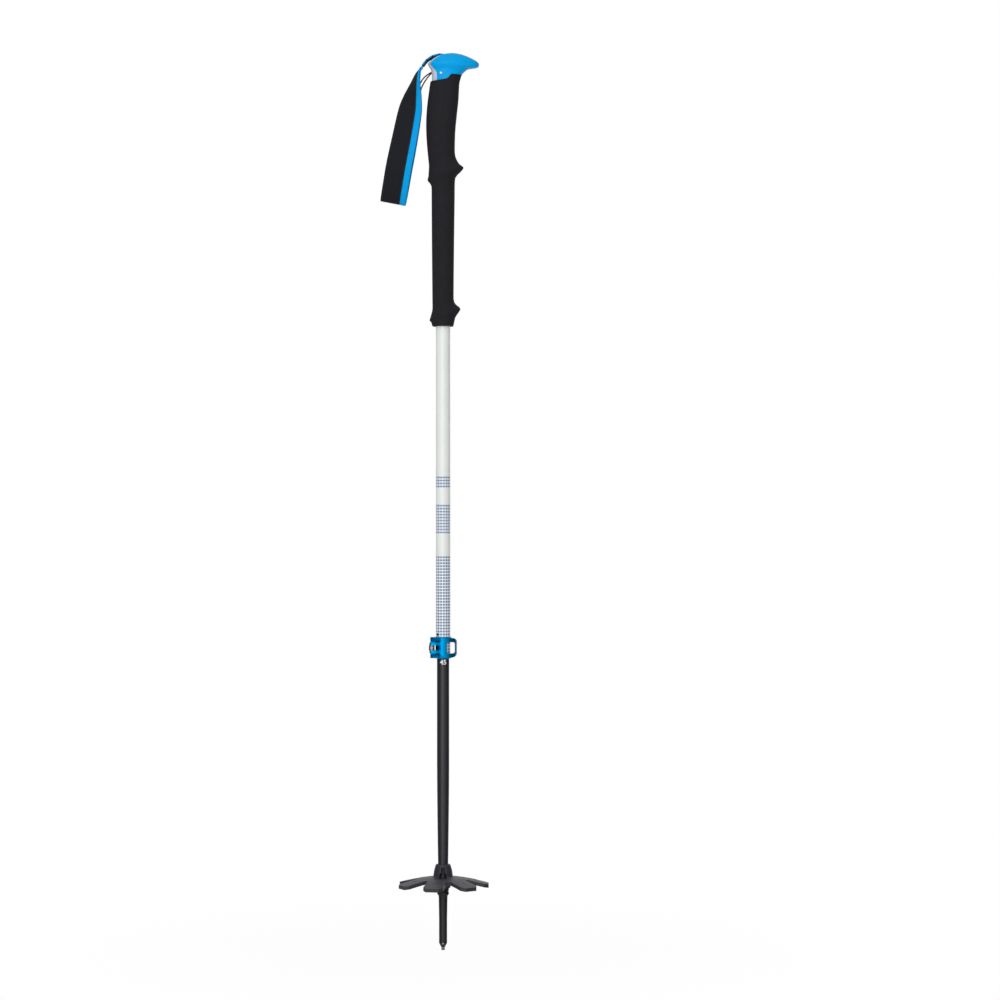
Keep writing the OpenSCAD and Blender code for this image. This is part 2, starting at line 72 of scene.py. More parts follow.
# %% Camera
LENS = 112.27
SENSOR = 36
STAND = (0.073, -4.0, -0.483)
lens = bpy.data.cameras.new("catalogue_camera")
lens.lens = LENS
lens.sensor_width = SENSOR
camera = bpy.data.objects.new("catalogue_camera", lens)
camera.location = STAND
camera.rotation_euler = (math.radians(90), 0, 0)
bpy.context.scene.collection.objects.link(camera)
bpy.context.scene.camera = camera
print("camera:", lens.lens, "mm, at", tuple(camera.location))

# %% [markdown]
# Every list of sizes below is in millimetres. Heights of the head and the strap are counted from
# the top of the head, which stands 90 mm above the hand. A list of measured sections is only a
# handful of points, so a smooth curve is run through them before anything is built.

# %% Sizes and smooth curves
MM = 0.001
HEAD_TOP = 90.0


def through(a, b, c, d, t):
    """The smooth curve between b and c, a share t of the way along."""
    return [
        q + 0.5 * t * (r - p + t * (2 * p - 5 * q + 4 * r - s + t * (3 * (q - r) + s - p)))
        for p, q, r, s in zip(a, b, c, d)
    ]


def smoothed(rows, steps):
    """The rows with steps - 1 more between each pair."""
    last = len(rows) - 1
    found = []
    for i in range(last):
        around = [rows[min(max(i + k, 0), last)] for k in (-1, 0, 1, 2)]
        found += [through(*around, k / steps) for k in range(steps)]
    return found + [list(rows[last])]


def point(x, y, z):
    """A place in metres, from millimetres with the height counted from the top of the head."""
    return Vector((x, y, z + HEAD_TOP)) * MM


# %% [markdown]
# Tubes, bands and grips are all the same idea: a loop of points carried along a route, each loop
# bridged to the next. A curve object could carry a round section, but not one that changes, and
# a curve can't bend with the strap. So one helper makes a loop, one bridges the loops, and one
# lays a map on the surface, in millimetres, for weaves to follow.

# %% Loops, bridges and maps
def loop(bm, places):
    """A closed loop through places."""
    verts = bmesh.ops.create_circle(bm, segments=len(places), radius=1)["verts"]
    for vert, place in zip(verts, places):
        vert.co = place
    return verts


def bridged(bm, loops, closed=False):
    """Skin over the loops in order, and back to the first where closed."""
    pairs = list(zip(loops, loops[1:]))
    if closed:
        pairs.append((loops[-1], loops[0]))
    rims = {id(verts): rim(verts) for verts in loops}
    for a, b in pairs:
        bmesh.ops.bridge_loops(bm, edges=rims[id(a)] + rims[id(b)])


def rim(verts):
    """The edges that run round a loop."""
    own = set(verts)
    return [e for e in {e for v in verts for e in v.link_edges} if set(e.verts) <= own]


def mapped(bm, where, width, length):
    """Lay a map: where gives each point its place across and along, in millimetres, and a face that
    crosses the seam of either counts on past it."""
    layer = bm.loops.layers.uv.new("map")
    for face in bm.faces:
        spots = [list(where[corner.vert]) for corner in face.loops]
        for axis, span in ((0, width), (1, length)):
            if span and max(s[axis] for s in spots) - min(s[axis] for s in spots) > span / 2:
                for spot in spots:
                    spot[axis] += span if spot[axis] < span / 2 else 0
        for corner, spot in zip(face.loops, spots):
            corner[layer].uv = spot


def piece(name, bm, sharp=180):
    """An object from a finished bmesh, smooth but for corners sharper than sharp degrees."""
    bmesh.ops.recalc_face_normals(bm, faces=bm.faces)
    mesh = bpy.data.meshes.new(name)
    bm.to_mesh(mesh)
    bm.free()
    mesh.shade_smooth()
    if sharp < 180:
        mesh.set_sharp_from_angle(angle=math.radians(sharp))
    made = bpy.data.objects.new(name, mesh)
    bpy.context.scene.collection.objects.link(made)
    print(name + ":", len(mesh.polygons), "faces")
    return made


# %% [markdown]
# A thin black keeper cord leaves the port at the back of the head, runs down inside the strap and
# comes back. It is 1.7 mm across and limp. It is built first because it is free to lie where it
# likes, so its length and its place have to be right before anything else is. The tube is swept
# along its route with each loop's side vector taken square to one fixed direction, which keeps it
# from twisting.

# %% Keeper cord
CORD = [
    (-12.4, 0.9, -23.9), (-15.4, 1.1, -24.6), (-18.6, 1.5, -26.5), (-21.6, 1.8, -28.5),
    (-24.3, 2.2, -30.9), (-26.9, 2.6, -34), (-29.2, 3.1, -38), (-31, 3.6, -42), (-32.2, 3.8, -46),
    (-32.3, 3.3, -49.6), (-31.2, 1.8, -52), (-29.8, -0.2, -52.4), (-28.9, -1.9, -50.2),
    (-28.3, -2.6, -46.6), (-26.9, -2.6, -43), (-25.2, -2.5, -39.7), (-23.4, -2.3, -36.6),
    (-21.4, -2, -33.6), (-19, -1.7, -30.4), (-16.8, -1.3, -27.7), (-14.8, -1, -25.9),
    (-12.4, -0.9, -25.2),
]
CORD_R = 0.85 * MM
CORD_SIDES = 12
route = [point(*p) for p in smoothed(CORD, 4)]
bm = bmesh.new()
loops = []
spots = {}
gone = 0.0
for i, here in enumerate(route):
    along = (route[min(i + 1, len(route) - 1)] - route[max(i - 1, 0)]).normalized()
    side = along.cross(Vector((0, 1, 0.02))).normalized()
    up = along.cross(side)
    turns = [math.tau * k / CORD_SIDES for k in range(CORD_SIDES)]
    loops.append(loop(bm, [here + CORD_R * (math.cos(t) * side + math.sin(t) * up) for t in turns]))
    gone += (here - route[max(i - 1, 0)]).length
    spots.update({vert: (k, gone / MM) for k, vert in enumerate(loops[-1])})
bridged(bm, loops)
mapped(bm, spots, CORD_SIDES, 0)
for end in (loops[0], loops[-1]):
    bmesh.ops.contextual_create(bm, geom=rim(end))
keeper_cord = piece("keeper_cord", bm)
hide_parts("strap_cord")
point(-14, 0, -25)
point(-31, 0, -46)
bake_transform(keeper_cord)
print("keeper cord:", round(gone / MM, 1), "mm long")

# %% [markdown]
# The wrist band is one long loop of soft webbing, 33 mm wide, with a bright edge on the side of the
# pole. It leaves the head turned edge-on and gathered to 15 mm, then untwists and spreads. Cloth
# simulation would make it sag in ways that a stiff sewn band doesn't, so it is lofted: each loop
# is the band's own cross-section, thin at both selvedges and pinched along the seam. The bridge
# operator pairs points by nearness, and where the band doubles back it can pair them mirrored,
# which turns half the band inside out. So here points of the same number are joined one by one.

# %% Wrist band
BAND_W = 33.0
EDGE_W = 7.8
BAND_T = 1.6
BAND_LEAN = 10.8
STRAP = [
    (-17.7, -26.6, 15, 90, 0, 0), (-19.8, -28.6, 16.5, 87, 1, 0.1), (-25.4, -32, 21, 76, 0.85, 0.5),
    (-40.5, -36.3, 31.5, 64, 0.5, 1.5), (-59.3, -39.9, 33, 41, 0.4, 3.4),
    (-77, -42.8, 33, 23, 0.25, 7), (-109.3, -48.8, 33, 12, 0.1, 13), (-146, -56.1, 33, 0, 0, 17),
    (-165, -59.4, 33, 0, 0, 15.6), (-181, -62.2, 33, 0, 0, 11.4), (-189.5, -63.7, 33, 0, 0, 6),
    (-192.2, -64.2, 33, 0, 0, 0),
]
ACROSS = [
    (0, 0), (0.3, 0.62), (1, 0.95), (3, 1), (6, 1), (7.2, 1), (7.6, 0.78), (8, 0.78), (8.5, 1),
    (14, 1), (19, 1), (24, 1), (28, 1), (32, 0.95), (32.7, 0.62), (33, 0),
]


def band_frame(row):
    """Middle of the band, and the direction across it, at one row of STRAP."""
    height, middle, wide, twist, apart_x, apart_y = row
    turn = math.radians(twist)
    lean = math.radians(BAND_LEAN * (1 - twist / 90))
    across = Vector((
        -math.cos(turn) * math.cos(lean), math.sin(turn), math.cos(turn) * math.sin(lean),
    ))
    return point(middle + apart_x, apart_y, height), across


down = smoothed(STRAP, 9)
strap_rows = [row[:4] + [-row[4], -row[5]] for row in down] + down[-2:0:-1]
bm = bmesh.new()
loops = []
spots = {}
gone = 0.0
profile = ACROSS + [(w, -t) for w, t in ACROSS[-2:0:-1]]
middles = [band_frame(row)[0] for row in strap_rows]
for i, row in enumerate(strap_rows):
    middle, across = band_frame(row)
    run = middles[(i + 1) % len(middles)] - middles[i - 1]
    up = run.cross(across).normalized()
    gather = row[2] / BAND_W
    loops.append(loop(bm, [
        middle + across * (w - BAND_W / 2) * gather * MM + up * t * BAND_T / 2 * MM
        for w, t in profile
    ]))
    if i:
        gone += (middle - middles[i - 1]).length / MM
    spots.update({
        vert: (w if t >= 0 else 2 * BAND_W - w, gone)
        for vert, (w, t) in zip(loops[-1], profile)
    })
strap_length = gone + (middles[0] - middles[-1]).length / MM
for a, b in zip(loops, loops[1:] + loops[:1]):
    for k in range(len(profile)):
        bm.faces.new((a[k - 1], a[k], b[k], b[k - 1]))
mapped(bm, spots, 2 * BAND_W, strap_length)
wrist_band = piece("wrist_band", bm)
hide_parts("strap_band", "strap_edge")
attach(wrist_band, "strap")
print("wrist band:", round(strap_length), "mm round")

# %% [markdown]
# A short stiff lead carries the band: two tapes, one on the other, that come up out of the head's
# pocket, bend over its back and end where the band is sewn to them. Their route is a straight foot
# and two arcs that meet at the top, so it is worked out from two radii, and each tape is swept like
# the band, a little above or below the middle of the route.

# %% Strap lead
LEAD_W = 15.0
LEAD_TOP = -2.6
LEAD_FOOT = -22.0
BEND_X = -2.6
BEND_R = 10.0
BACK_R = 26.3
BACK_TURN = 61.9
FOOT_STEPS = 10
BACK_STEPS = 21
TAPE = [(0, 0), (0.25, 0.7), (0.8, 1), (4, 1), (7.5, 1), (11, 1), (14.2, 1), (14.75, 0.7), (15, 0)]
tape = TAPE + [(w, -t) for w, t in TAPE[-2:0:-1]]


def arc(radius, angles):
    """Places on an arc that passes the top of the lead, each with the angle that faces out of it."""
    return [
        (
            BEND_X + radius * math.cos(math.radians(a)),
            LEAD_TOP - radius + radius * math.sin(math.radians(a)),
            a,
        )
        for a in angles
    ]


rise = (LEAD_TOP - BEND_R - LEAD_FOOT) / FOOT_STEPS
lead_route = [(BEND_X + BEND_R, LEAD_FOOT + rise * k, 0) for k in range(FOOT_STEPS)]
lead_route += arc(BEND_R, range(0, 90, 9))
lead_route += arc(BACK_R, [90 + BACK_TURN * k / BACK_STEPS for k in range(BACK_STEPS + 1)])


def lead_tape(name, thick, lift):
    """One tape of the lead, its middle lift millimetres outside the middle of the route."""
    bm = bmesh.new()
    loops = []
    spots = {}
    gone = 0.0
    before = None
    for x, z, angle in lead_route:
        out = Vector((math.cos(math.radians(angle)), 0, math.sin(math.radians(angle))))
        middle = point(x, 0, z) + out * lift * MM
        gone += (middle - before).length / MM if before else 0
        before = middle
        loops.append(loop(bm, [
            middle + Vector((0, w - LEAD_W / 2, 0)) * MM + out * t * thick / 2 * MM for w, t in tape
        ]))
        spots.update({
            vert: (w if t >= 0 else 2 * LEAD_W - w, gone) for vert, (w, t) in zip(loops[-1], tape)
        })
    bridged(bm, loops)
    mapped(bm, spots, 2 * LEAD_W, 0)
    for end in (loops[0], loops[-1]):
        bmesh.ops.contextual_create(bm, geom=rim(end))
    made = piece(name, bm)
    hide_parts("strap_lead")
    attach(made, "upper")
    print(name + ":", round(gone, 1), "mm long")
    return made


block_tape = lead_tape("block_tape", thick=2.0, lift=0.55)
under_tape = lead_tape("under_tape", thick=1.05, lift=-1.05)

# %% [markdown]
# The grip is one long sleeve of pressed foam: a hand part with a flared stop below it, a plain
# sleeve for a lower hold, and a second flare at its end. Its sections are egg-shaped and tipped
# forward, so one round profile spun about the axis would miss it. The loops below are set at
# measured heights, and its upper end follows the stepped line where the head sits on it. The bore
# has rings all the way up and starts a little inside the end face, because a bridge between rings
# that are far apart, or that share one centre, may twist and close the hole.

# %% Foam grip
HAND = [
    (-33, 0.2, 16.3, 23.8, 14.8), (-43, 0.2, 17.8, 21, 15.4), (-64.5, 0.25, 20.7, 19.8, 16.2),
    (-85, 0.26, 21.8, 17.6, 16.4), (-105.5, 0.31, 21.1, 15.7, 16), (-127, 0.36, 19.2, 15.1, 15.3),
    (-136.5, 0.4, 18.2, 15.5, 15.3), (-144, 0.41, 18.5, 17.6, 15.8),
    (-150.6, 0.38, 18.9, 21.4, 16.7), (-154.6, 0.35, 19.8, 25.5, 17.6),
    (-157, 0.35, 19.6, 25.9, 17.4), (-160.4, 0.36, 17.3, 22.6, 16.2), (-164, 0.38, 15.4, 17.6, 15.1),
    (-169.5, 0.38, 14.8, 15.3, 14.6), (-192, 0.26, 14.7, 14.9, 14.5), (-242, 0.18, 14.4, 14.2, 14.2),
    (-307, 0.28, 13.8, 13.6, 13.7), (-322, 0.4, 13.7, 13.9, 13.8), (-328, 0.39, 14.9, 16.1, 14.5),
    (-332.5, 0.36, 16.2, 20.3, 15.8), (-335.4, 0.36, 17.2, 22, 16.6), (-337.1, 0.36, 17.2, 22, 16.5),
    (-340, 0.33, 15.4, 19.2, 15.3), (-343, 0.28, 14.6, 16, 14.5), (-346.4, 0.18, 14.3, 14.6, 14),
    (-350.5, 0, 13.1, 13.1, 13.1),
]
SEAT = [
    (40, -28.1), (10.8, -28.1), (8.9, -30.1), (6.4, -33.1), (3.9, -34.2), (-7.6, -35.9), (-40, -38.6),
]
FOAM_SIDES = 64
FOAM_TURNS = [math.tau * k / FOAM_SIDES for k in range(FOAM_SIDES)]
SEAT_GAP = 0.15
BELOW_SEAT = -38.4
BORE = 9.25
BORE_RINGS = 12
BORE_STOP = 1.0
SUNK = 0.8


def seat_height(x):
    """Height of the line between the head and the foam."""
    for (xa, za), (xb, zb) in zip(SEAT, SEAT[1:]):
        if x >= xb:
            return za + (zb - za) * (xa - x) / (xa - xb)
    return SEAT[-1][1]


def under_head(places):
    """The same loop, raised or lowered to the line under the head."""
    return [(x, y, seat_height(x) - SEAT_GAP) for x, y, z in places]


def egg(row):
    """Loop of the grip at one row of HAND."""
    height, slope, back, front, half = row
    places = []
    for t in FOAM_TURNS:
        x = math.cos(t) * (front if math.cos(t) > 0 else back)
        places.append((x, half * math.sin(t), height + slope * x))
    return places


def bore_ring(z):
    """Loop of the bore at one height."""
    return [(BORE * math.cos(t), BORE * math.sin(t), z) for t in FOAM_TURNS]


outer = [egg(row) for row in smoothed(HAND, 5) if row[0] < BELOW_SEAT]
low = HAND[-1][0] + SUNK
step = (SEAT[-1][1] - BORE_STOP - low) / (BORE_RINGS - 1)
bore = [bore_ring(low + step * k) for k in range(BORE_RINGS)]
sleeve = [under_head(egg(HAND[0]))] + outer + bore + [under_head(bore_ring(0))]
bm = bmesh.new()
loops = [loop(bm, [point(*p) for p in places]) for places in sleeve]
bridged(bm, loops, closed=True)
grip = piece("foam_grip", bm, sharp=60)
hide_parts("grip_foam")
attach(grip, "upper")

# %% [markdown]
# The hard pieces keep the shapes of the frame, but a real moulding or machined part has no knife
# edges: the small round on each corner is what catches the light. The frame's own meshes stay as
# they are. A copy is merged, its flat triangles are joined, and a Bevel modifier rounds what is
# sharper than a set angle. The rounds take the second material of the piece, a paler colour that
# paints a highlight along each corner; on the head and the basket it also stands for rubbed wear.
# The modifier's overlap clamp is on, and it holds all the rounds of a piece down to what its
# shortest edges allow. These meshes have very short edges, so the rounds come out smaller than
# asked for: about 0.1 mm on the basket, and under 0.01 mm on the other four pieces, whose corners
# look sharp.

# %% Rounded copies of hard pieces
SAME_POINT = 2e-6
FLAT = math.radians(1.0)


def rounded(node, name, body, radius, sharp=40):
    """A copy of a frame node with its corners rounded by at most radius millimetres."""
    bm = bmesh.new()
    bm.from_mesh(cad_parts[node].data)
    bmesh.ops.remove_doubles(bm, verts=bm.verts, dist=SAME_POINT)
    bmesh.ops.dissolve_limit(
        bm, angle_limit=FLAT, verts=bm.verts, edges=bm.edges, delimit=set(),
    )
    made = piece(name, bm, sharp=sharp)
    bevel = made.modifiers.new("rounded", "BEVEL")
    bevel.width = radius * MM
    bevel.segments = 2
    bevel.limit_method = "ANGLE"
    bevel.angle_limit = math.radians(sharp)
    bevel.harden_normals = True
    # The rounds take material 1, a paler colour that paints a highlight along each corner.
    bevel.material = 1
    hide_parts(node)
    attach(made, body)
    return made


head_cap = rounded("head_cap", "head_shell", "upper", 0.3, 50)
head_core = rounded("head_core", "head_back", "upper", 0.3, 50)
clamp_ring = rounded("lock_collar", "clamp_ring", "upper", 0.35)
clamp_lever = rounded("lock_lever", "clamp_lever", "lever", 0.7)
snow_basket = rounded("basket", "snow_basket", "lower", 0.55)

# %% [markdown]
# Paint, cloth and metal are all drawn by small formulas over the surface, never by pictures, so
# they stay sharp at any distance. Wiring nodes one by one hides the formula, so a small class
# wraps a socket and lets ordinary arithmetic add the Math nodes. Any other node comes from one
# method, which sets the node's own settings before its sockets.

# %% Arithmetic on sockets
class Field:
    """A value that varies over a surface."""

    def __init__(self, tree, socket):
        self.tree = tree
        self.socket = socket

    def node(self, kind, settings=None, sockets=None):
        made = self.tree.nodes.new(kind)
        for name, value in (settings or {}).items():
            setattr(made, name, value)
        for name, value in (sockets or {}).items():
            if isinstance(value, Field):
                self.tree.links.new(value.socket, made.inputs[name])
            else:
                made.inputs[name].default_value = value
        return made

    def math(self, operation, *others):
        sockets = dict(enumerate((self,) + others))
        made = self.node("ShaderNodeMath", {"operation": operation}, sockets)
        return Field(self.tree, made.outputs[0])

    def reversed_math(self, operation, first):
        made = self.node("ShaderNodeMath", {"operation": operation}, {0: first, 1: self})
        return Field(self.tree, made.outputs[0])

    def __add__(self, other):
        return self.math("ADD", other)

    def __radd__(self, other):
        return self.math("ADD", other)

    def __sub__(self, other):
        return self.math("SUBTRACT", other)

    def __rsub__(self, other):
        return self.reversed_math("SUBTRACT", other)

    def __mul__(self, other):
        return self.math("MULTIPLY", other)

    def __rmul__(self, other):
        return self.math("MULTIPLY", other)

    def __truediv__(self, other):
        return self.math("DIVIDE", other)

    def __lt__(self, other):
        return self.math("LESS_THAN", other)

    def __gt__(self, other):
        return self.math("GREATER_THAN", other)

    def clear(self, low, high):
        """0 up to low, 1 from high, smooth between."""
        made = self.node(
            "ShaderNodeMapRange", {"interpolation_type": "SMOOTHSTEP"},
            {"Value": self, "From Min": low, "From Max": high},
        )
        return Field(self.tree, made.outputs[0])


# %% [markdown]
# A finish is one material with one shader. It hands out the coordinates as fields in millimetres,
# the noises that break up a surface, and a way to mix two colours. Colours are written as they
# look on a screen, 0 to 255, and turned into the linear light that the shader works in.

# %% Finishes
def screen(red, green, blue):
    """A shader colour from the numbers that a screen shows."""
    def linear(value):
        share = value / 255
        return share / 12.92 if share <= 0.04045 else ((share + 0.055) / 1.055) ** 2.4

    return (linear(red), linear(green), linear(blue), 1)


class Finish:
    """A material made of one shader and the fields that feed it."""

    def __init__(self, name, **constants):
        self.material = bpy.data.materials.new(name)
        self.material.use_nodes = True
        self.tree = self.material.node_tree
        self.tree.nodes.clear()
        self.start = Field(self.tree, None)
        self.shader = self.start.node("ShaderNodeBsdfPrincipled")
        for key, value in constants.items():
            self.shader.inputs[key.replace("_", " ")].default_value = value
        out = self.start.node("ShaderNodeOutputMaterial")
        self.tree.links.new(self.shader.outputs[0], out.inputs["Surface"])
        self.coordinates = self.start.node("ShaderNodeTexCoord")

    def split(self, output):
        """The three parts of a coordinate as fields."""
        parts = self.start.node("ShaderNodeSeparateXYZ")
        self.tree.links.new(self.coordinates.outputs[output], parts.inputs[0])
        return [Field(self.tree, socket) for socket in parts.outputs]

    def place(self):
        """x, y and z on the pole, in millimetres from the hand."""
        return [part * 1000 for part in self.split("Object")]

    def cloth(self):
        """Across and along the piece's own map, in millimetres."""
        return self.split("UV")[:2]

    def noise(self, size, detail=2.0, rough=0.5, stretch=None):
        """Cloudy variation from 0 to 1 whose lumps are size millimetres."""
        spot = Field(self.tree, self.coordinates.outputs["Object"])
        if stretch:
            made = self.start.node(
                "ShaderNodeVectorMath", {"operation": "MULTIPLY"}, {0: spot, 1: stretch},
            )
            spot = Field(self.tree, made.outputs[0])
        made = self.start.node("ShaderNodeTexNoise", {}, {
            "Vector": spot, "Scale": 1000 / size, "Detail": detail, "Roughness": rough,
        })
        return Field(self.tree, made.outputs[0])

    def cells(self, size):
        """Distance to the nearest of many scattered points, about size millimetres apart."""
        spot = Field(self.tree, self.coordinates.outputs["Object"])
        made = self.start.node("ShaderNodeTexVoronoi", {}, {"Vector": spot, "Scale": 1000 / size})
        return Field(self.tree, made.outputs[0])

    def mix(self, share, first, second):
        """first where share is 0, second where it is 1."""
        made = self.start.node(
            "ShaderNodeMix", {"data_type": "RGBA"}, {0: share, 6: first, 7: second},
        )
        return Field(self.tree, made.outputs[2])

    def feed(self, **fields):
        """Link fields to the shader's own sockets."""
        for key, value in fields.items():
            self.tree.links.new(value.socket, self.shader.inputs[key.replace("_", " ")])

    def relief(self, height, depth, strength=1.0):
        """Bumps from a field, depth millimetres high."""
        made = self.start.node("ShaderNodeBump", {}, {
            "Height": height, "Strength": strength, "Distance": depth * MM,
        })
        self.tree.links.new(made.outputs[0], self.shader.inputs["Normal"])

    def on(self, *pieces):
        """Give pieces or frame nodes this finish alone."""
        for item in pieces:
            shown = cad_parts[item] if isinstance(item, str) else item
            shown.data.materials.clear()
            shown.data.materials.append(self.material)
        print("finish", self.material.name, "on", len(pieces))

    def corners(self, *pieces):
        """Give the rounded corners of pieces this finish."""
        for item in pieces:
            item.data.materials.append(self.material)
        print("finish", self.material.name, "on the corners of", len(pieces))


# %% [markdown]
# Pressed foam is full of closed cells. Its skin shows them as a fine pebble, dull and slightly
# grey. The cells are scattered points, the larger mottling is a soft noise, and the
# shader is kept nearly without gloss.

# %% Foam finish
foam = Finish("pressed_foam", Specular_IOR_Level=0.16)
mottle = foam.noise(11, 3)
pores = foam.cells(0.9)
grain = foam.noise(0.5, 2)
foam.feed(
    Base_Color=foam.mix(
        mottle * 0.4 + grain * 0.6, screen(17, 16, 19), screen(41, 39, 44),
    ),
    Roughness=0.78 + grain * 0.16,
)
foam.relief(pores * 0.8 + grain * 0.5 + mottle * 0.3, 0.16, 0.6)
foam.on(grip)

# %% [markdown]
# The band is a close black plain weave with a bright satin edge. Warp threads run along the band
# and weft threads across, and each passes over and under the other, so the height follows the warp
# where the warp is on top and the weft elsewhere, and they change places in every second row. The
# two colours meet in a zigzag, because the sewing bites into the bright tape, so the line between
# them is a small wave along the band. One line of stitches runs beside it, and one along the far
# selvedge.

# %% Webbing finish
def weave(finish, thread):
    """Height of a plain weave, from 0 to 1, with threads that many millimetres apart."""
    across, along = finish.cloth()
    warp = (across * (math.pi / thread)).math("SINE").math("ABSOLUTE")
    row = (along / thread).math("FLOOR")
    shift = row.math("MODULO", 2.0) * 0.5
    weft = ((along / thread) * math.pi).math("SINE").math("ABSOLUTE")
    over = ((across / thread * 0.5 + shift) * math.tau).math("SINE") * 0.5 + 0.5
    return warp * over * 0.6 + weft * (1 - over) * 0.6 + 0.2


STITCH_REACH = 0.42
STITCH_SHARE = 0.36


def stitches(from_line, along, pitch):
    """A row of stitches, 1 on a thread, where from_line counts millimetres from the row."""
    beat = (along / pitch).math("FRACT") - 0.5
    on_row = (STITCH_REACH - from_line.math("ABSOLUTE")).clear(0, 0.2)
    on_beat = (STITCH_SHARE - beat.math("ABSOLUTE")).clear(0, 0.1)
    return on_row * on_beat


STITCH = 3.2
SEAM = 1.6
HEM = 2.2
ZIGZAG = 3.0
BITE = 1.3
BLUR = 0.12
BAND_THREAD = 0.9
web = Finish("wrist_webbing", Specular_IOR_Level=0.1)
across, along = web.cloth()
inward = across.math("MINIMUM", 2 * BAND_W - across)
bite = ((along / ZIGZAG).math("FRACT") - 0.5).math("ABSOLUTE") * (2 * BITE) - BITE / 2
edge = 1 - (inward - EDGE_W - bite).clear(-BLUR, BLUR)
threads = weave(web, BAND_THREAD)
cloud = web.noise(6, 3)
sewn = stitches(inward - EDGE_W - SEAM, along, STITCH)
sewn = sewn.math("MAXIMUM", stitches(inward - BAND_W + HEM, along, STITCH))
tone = threads * 0.55 + cloud * 0.45
black = web.mix(tone, screen(12, 12, 15), screen(38, 39, 44))
black = web.mix(sewn, black, screen(46, 47, 53))
blue = web.mix(tone, screen(0, 130, 202), screen(0, 176, 244))
web.feed(
    Base_Color=web.mix(edge, black, blue),
    Roughness=0.72 + cloud * 0.18 - edge * 0.1,
)
web.relief(threads + sewn * 1.2 - edge * 0.3, 0.2)
web.on(wrist_band)

# %% [markdown]
# The upper tape of the lead has bright blocks woven right through it, selvedge to selvedge, with a
# narrow dark bar between one block and the next. The tape under it is plain and dark.

# %% Lead finishes
TAPE_THREAD = 0.7
BLOCK = 8.8
BLOCK_START = 7.6
BAR_SHARE = 0.2
block_web = Finish("block_webbing", Specular_IOR_Level=0.12)
across, along = block_web.cloth()
threads = weave(block_web, TAPE_THREAD)
block = ((along + BLOCK_START) / BLOCK).math("FRACT").clear(BAR_SHARE, BAR_SHARE + 0.04)
bright = block_web.mix(threads, screen(0, 112, 184), screen(0, 170, 238))
dark = block_web.mix(threads, screen(14, 14, 18), screen(34, 34, 40))
block_web.feed(Base_Color=block_web.mix(block, dark, bright), Roughness=0.8 - block * 0.14)
block_web.relief(threads + block * 1.4, 0.18)
block_web.on(block_tape)

under_web = Finish("under_webbing", Specular_IOR_Level=0.18)
threads = weave(under_web, TAPE_THREAD)
cloud = under_web.noise(4, 3)
under_web.feed(
    Base_Color=under_web.mix(threads * 0.6 + cloud * 0.4, screen(12, 12, 15), screen(38, 38, 44)),
    Roughness=0.76 + cloud * 0.16,
)
under_web.relief(threads, 0.18)
under_web.on(under_tape)

# %% [markdown]
# The cord is a round braid: two sets of strands wind round it in opposite directions and cross, so
# each is a wave that climbs as it goes round, and whichever is higher lies on top.

# %% Cord finish
PLAIT_STRANDS = 4
PLAIT = 2.2
cord_finish = Finish("braided_cord", Specular_IOR_Level=0.25)
around, along = cord_finish.cloth()
left = ((around / CORD_SIDES * PLAIT_STRANDS + along / PLAIT) * math.tau).math("SINE")
right = ((around / CORD_SIDES * PLAIT_STRANDS - along / PLAIT) * math.tau).math("SINE")
plait = left.math("MAXIMUM", right) * 0.5 + 0.5
cord_finish.feed(
    Base_Color=cord_finish.mix(plait, screen(7, 7, 9), screen(26, 26, 30)),
    Roughness=0.65 + plait * 0.2,
)
cord_finish.relief(plait, 0.12)
cord_finish.on(keeper_cord)

# %% [markdown]
# The head is two mouldings of one tough plastic, blue over pale grey. A moulded skin isn't a mirror:
# fine spark-eroded grain softens the highlight and a slow ripple bends it. The same recipe with
# other colours serves the basket, the ferrule and the plastic pieces inside.

# %% Moulded plastics
def moulded(name, deep, pale, gloss, grain_size=0.35, depth=0.03, specular=0.4):
    """A moulded plastic between two close colours, with a grained skin."""
    skin = Finish(name, Specular_IOR_Level=specular)
    slow = skin.noise(14, 2)
    fine = skin.noise(grain_size, 2)
    scuff = skin.noise(2.6, 5, 0.7).clear(0.55, 0.75)
    skin.feed(
        Base_Color=skin.mix(slow * 0.7 + scuff * 0.3, deep, pale),
        Roughness=gloss + fine * 0.12 + scuff * 0.1,
    )
    skin.relief(fine + slow * 1.5, depth)
    return skin


moulded("head_blue", screen(0, 152, 220), screen(0, 168, 236), 0.32, specular=0.07).on(head_cap)
# The paler corner colours of the head are a painted highlight along the rounds, with some rubbed wear.
moulded("head_blue_highlight_and_wear", screen(0, 158, 224), screen(14, 174, 238), 0.34, specular=0.1).corners(
    head_cap,
)
moulded("head_grey", screen(184, 195, 203), screen(204, 213, 220), 0.42, specular=0.25).on(head_core)
moulded("head_grey_highlight_and_wear", screen(204, 213, 219), screen(222, 229, 233), 0.4, specular=0.25).corners(
    head_core,
)
moulded("basket_charcoal", screen(42, 41, 47), screen(66, 64, 72), 0.42, specular=0.22).on(snow_basket)
# The much lighter corner colour of the basket is a painted highlight along the petal rims, with some
# rubbed wear.
moulded("basket_highlight_and_wear", screen(70, 69, 75), screen(112, 110, 114), 0.5, specular=0.3).corners(
    snow_basket,
)
moulded("ferrule_black", screen(24, 23, 27), screen(40, 38, 44), 0.4, specular=0.3).on("tip_ferrule")
moulded("inner_black", screen(22, 22, 25), screen(38, 38, 42), 0.5, specular=0.3).on(
    "head_plug", "strap_wedge", "guide_bush",
)
moulded("pin_white", screen(226, 228, 228), screen(242, 243, 242), 0.3).on("head_pin")
